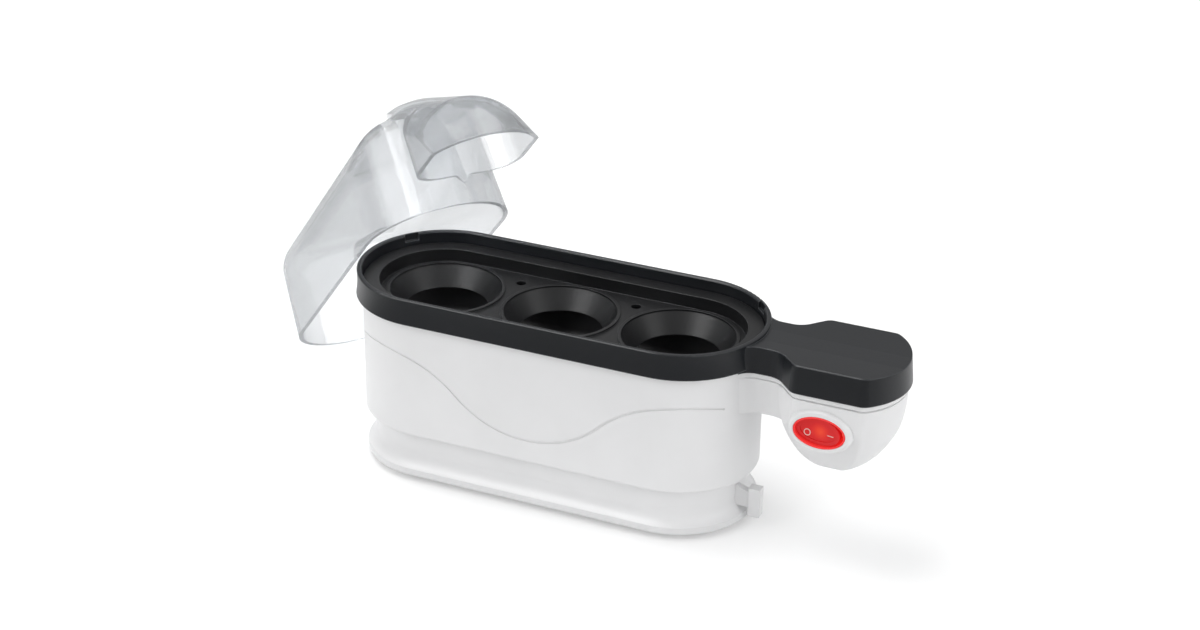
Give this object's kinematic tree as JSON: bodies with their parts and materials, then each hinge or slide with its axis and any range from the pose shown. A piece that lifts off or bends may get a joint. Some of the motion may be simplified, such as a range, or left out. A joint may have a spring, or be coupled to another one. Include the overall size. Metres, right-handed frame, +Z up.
{
  "type": "egg boiler",
  "caption": "Long oblong egg steamer: white tub on a grooved base, black collar and handle cover, cupped tray, rocker switch, and a clear vaulted lid leaned on one end.",
  "frame": {"origin": "on the table, under the middle of the oblong tub", "axes": "+X along the machine towards the handle, +Y to the back, away from the switch, +Z up"},
  "size_m": [0.2944, 0.127, 0.1573],
  "materials": {
    "white_plastic": "satin moulded white with a faint warm tone",
    "black_plastic": "fine satin texture, charcoal black",
    "clear_plastic": "clear polished plastic with a faint grey-blue tint",
    "tray_plastic": "satin black",
    "coated_dish": "dark non-stick coating on pressed sheet",
    "rocker_plastic": "translucent red, lit from inside",
    "bezel_plastic": "smooth white",
    "switch_plastic": "plain black moulding",
    "foot_rubber": "soft matt rubber",
    "seal_rubber": "soft dark rubber",
    "element_steel": "drawn tube, heat tinted",
    "bright_steel": "bright plated",
    "shield_sheet": "plain rolled sheet",
    "thermostat_metal": "plain drawn shell",
    "tab_brass": "plain stamped",
    "lamp_glass": "small clear bulb with an orange glow",
    "block_nylon": "natural nylon",
    "wire_cover": "soft insulation over stranded copper"
  },
  "bodies": {
    "machine": {"tub_housing": "white_plastic", "collar_cover": "black_plastic", "base_pan": "white_plastic", "rubber_feet": "foot_rubber", "cord_cleat": "white_plastic", "heating_dish": "coated_dish", "dish_seal": "seal_rubber", "heating_element": "element_steel", "element_pins": "bright_steel", "thermostat": "thermostat_metal", "thermostat_clip": "bright_steel", "thermal_fuse": "thermostat_metal", "fuse_clip": "bright_steel", "heat_shield": "shield_sheet", "dish_studs": "bright_steel", "shield_nuts": "bright_steel", "switch_bezel": "bezel_plastic", "switch_body": "switch_plastic", "switch_tabs": "tab_brass", "switch_lamp": "lamp_glass", "terminal_block": "block_nylon", "cord_bush": "seal_rubber", "cord_clamp": "block_nylon", "clamp_screws": "bright_steel", "base_screws": "bright_steel", "arm_screw": "bright_steel", "live_lead": "wire_cover", "lamp_lead": "wire_cover", "earth_lead": "wire_cover", "neutral_lead": "wire_cover", "switched_lead": "wire_cover"},
    "lid": {"clear_lid": "clear_plastic", "lid_grip": "clear_plastic"},
    "tray": {"cooking_tray": "tray_plastic"},
    "switch_key": {"rocker": "rocker_plastic"}
  },
  "joints": [
    {"name": "lid_lift", "type": "slide", "parent": "machine", "child": "lid", "axis": [-0.536, 0.4561, 0.7104], "range_m": [0, 0.1]},
    {"name": "tray_lift", "type": "slide", "parent": "machine", "child": "tray", "axis": [0, 0, 1], "range_m": [0, 0.006]},
    {"name": "rocker_tilt", "type": "hinge", "parent": "machine", "child": "switch_key", "pos_m": [0.1134, -0.0151, 0.0553], "axis": [0, 0, 1], "range_deg": [0, 10]}
  ]
}
